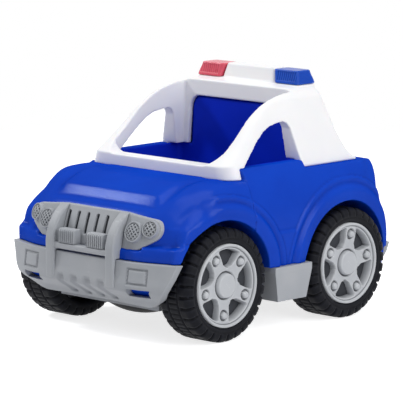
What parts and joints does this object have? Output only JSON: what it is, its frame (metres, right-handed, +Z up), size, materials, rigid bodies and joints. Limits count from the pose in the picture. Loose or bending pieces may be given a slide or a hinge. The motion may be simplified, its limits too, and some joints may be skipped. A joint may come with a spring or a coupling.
{
  "type": "toy police car",
  "caption": "Chunky push-along toy patrol car with an open-topped cab, light bar, push bar and freely rolling wheels.",
  "frame": {"origin": "on the floor, below the middle of the car's length and width", "axes": "+X forward, +Y the car's left, +Z up"},
  "size_m": [0.236, 0.1642, 0.1684],
  "materials": {
    "body_blue": "moulded, satin gloss",
    "cab_white": "moulded, satin gloss",
    "cockpit_blue": "moulded, fine grain",
    "trim_grey": "moulded, fine grain",
    "lens_red": "tinted, glossy",
    "lens_blue": "tinted, glossy",
    "tyre_black": "matt, moulded tread",
    "steel": "drawn rod"
  },
  "bodies": {
    "car": {"body_shell": "body_blue", "cabin_top": "cab_white", "cockpit_tub": "cockpit_blue", "chassis": "trim_grey", "front_bumper": "trim_grey", "rear_bumper": "trim_grey", "grille_panel": "trim_grey", "push_bar": "trim_grey", "red_lens": "lens_red", "blue_lens": "lens_blue", "chassis_screws": "steel"},
    "front_wheelset": {"front_axle": "steel", "tyre_front_left": "tyre_black", "tyre_front_right": "tyre_black", "rim_front_left": "trim_grey", "rim_front_right": "trim_grey"},
    "rear_wheelset": {"rear_axle": "steel", "tyre_rear_left": "tyre_black", "tyre_rear_right": "tyre_black", "rim_rear_left": "trim_grey", "rim_rear_right": "trim_grey"}
  },
  "joints": [
    {"name": "front_axle_spin", "type": "hinge", "parent": "car", "child": "front_wheelset", "pos_m": [0.06, 0, 0.038], "axis": [0, 1, 0], "continuous": true},
    {"name": "rear_axle_spin", "type": "hinge", "parent": "car", "child": "rear_wheelset", "pos_m": [-0.06, 0, 0.038], "axis": [0, 1, 0], "continuous": true}
  ]
}
